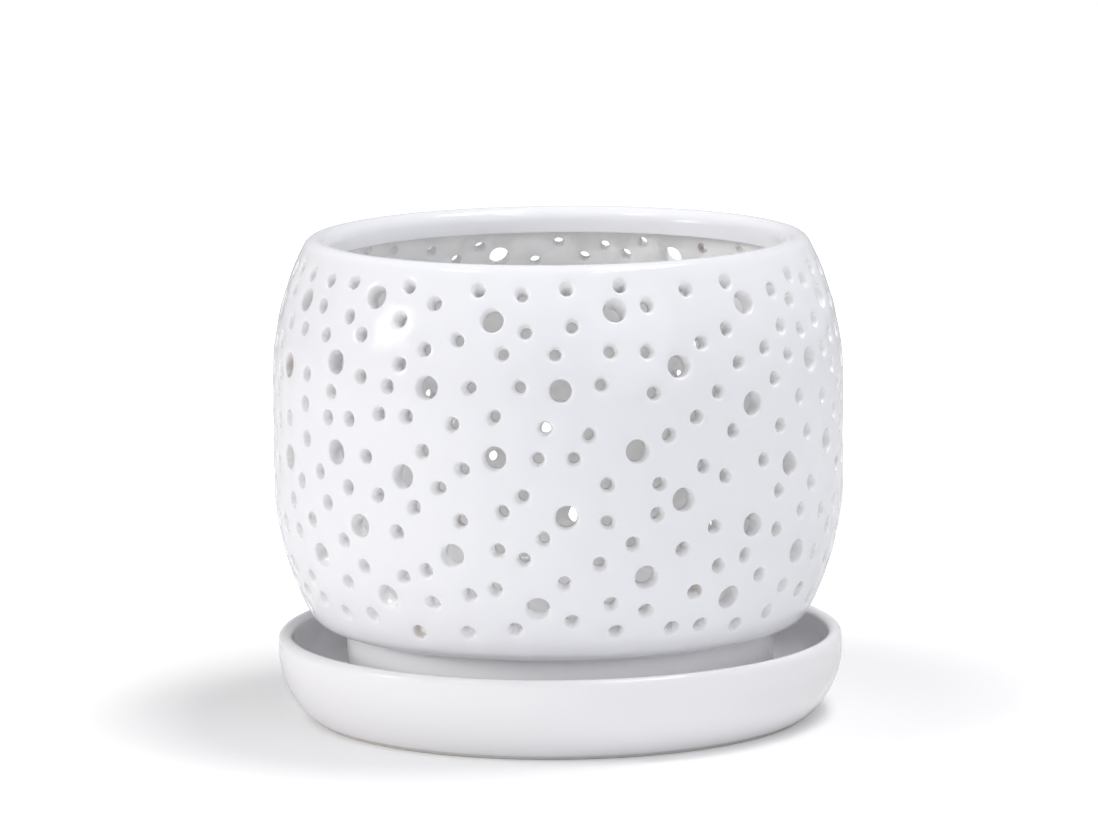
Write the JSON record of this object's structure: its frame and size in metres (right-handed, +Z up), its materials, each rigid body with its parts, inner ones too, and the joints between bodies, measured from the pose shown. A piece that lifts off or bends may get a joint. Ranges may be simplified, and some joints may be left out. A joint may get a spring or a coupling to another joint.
{
  "type": "orchid pot with saucer",
  "caption": "Round barrel-shaped ceramic orchid pot pierced all over with air holes, on a plain foot, standing in a loose shallow saucer.",
  "frame": {"origin": "centre of the saucer's foot ring, on the surface it stands on", "axes": "+Z up along the axis that both pieces are turned about, -Y towards the viewer of the picture, +X to the viewer's right"},
  "size_m": [0.165, 0.165, 0.1394],
  "materials": {
    "pot_glaze": "glossy white glaze",
    "saucer_glaze": "glossy white glaze, bare clay on the foot ring"
  },
  "bodies": {
    "saucer": {"saucer": "saucer_glaze"},
    "pot": {"pot": "pot_glaze"}
  },
  "joints": [
    {"name": "pot_lift", "type": "slide", "parent": "saucer", "child": "pot", "axis": [0, 0, 1], "range_m": [0, 0.045]}
  ]
}
